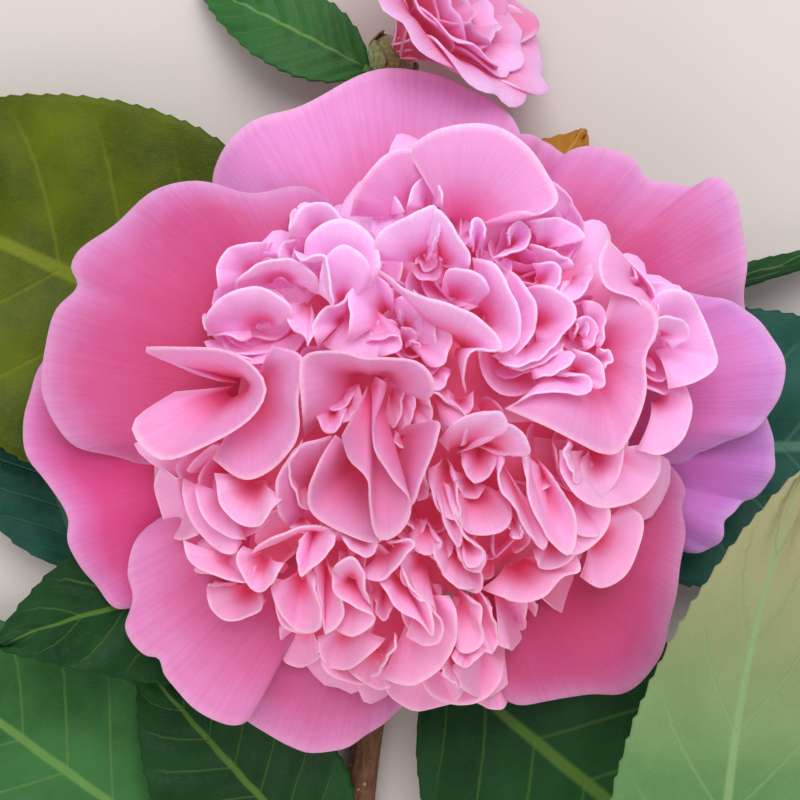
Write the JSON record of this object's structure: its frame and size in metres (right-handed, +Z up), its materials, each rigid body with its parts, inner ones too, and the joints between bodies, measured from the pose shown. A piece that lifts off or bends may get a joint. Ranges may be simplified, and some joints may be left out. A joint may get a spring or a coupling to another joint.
{
  "type": "cut flowering camellia branch",
  "caption": "Cut camellia branch lying flat, with a large peony-form pink bloom facing up, glossy toothed leaves and a smaller half-open bloom.",
  "frame": {"origin": "middle of the part's box in plan, on the level surface that the branch lies on", "axes": "+Z up, the way the large bloom faces; +Y along the branch from the cut end towards the small bloom; +X to the right seen from above"},
  "size_m": [0.2146, 0.2362, 0.0592],
  "materials": {
    "guard_petal": "soft satin petal, lavender pink at the rim and magenta pink at the foot",
    "heart_petal": "soft satin petal, pale pink rim and coral pink depth",
    "leaf": "glossy leathery leaf, dark green",
    "young_leaf": "soft young leaf, bronze",
    "bud_scale": "downy scale, yellow green",
    "bark": "fine matt bark, reddish brown"
  },
  "bodies": {
    "root": {"twig": "bark", "shoot_left": "bark", "shoot_right": "bark", "shoot_top": "bark", "leaf_left": "leaf", "leaf_left_small": "leaf", "leaf_left_lower": "leaf", "leaf_left_tip": "leaf", "leaf_bottom_left": "leaf", "leaf_low_left": "leaf", "leaf_foot_left": "leaf", "leaf_right": "leaf", "leaf_right_upper": "leaf", "leaf_bottom": "leaf", "leaf_low_right": "leaf", "leaf_foot_right": "leaf", "leaf_bronze": "young_leaf", "leaf_top": "leaf", "leaf_front": "leaf", "calyx": "bud_scale", "heart": "heart_petal", "guard_petal_upper_left": "guard_petal", "guard_petal_bottom_left": "guard_petal", "guard_petal_bottom_right": "guard_petal", "guard_petal_right": "guard_petal", "guard_petal_top": "guard_petal", "guard_petal_lower_left": "guard_petal", "guard_petal_bottom": "guard_petal", "guard_petal_lower_right": "guard_petal", "guard_petal_upper_right": "guard_petal", "guard_petal_behind_upper_right": "guard_petal", "small_calyx": "bud_scale", "small_bloom": "guard_petal"}
  },
  "joints": []
}
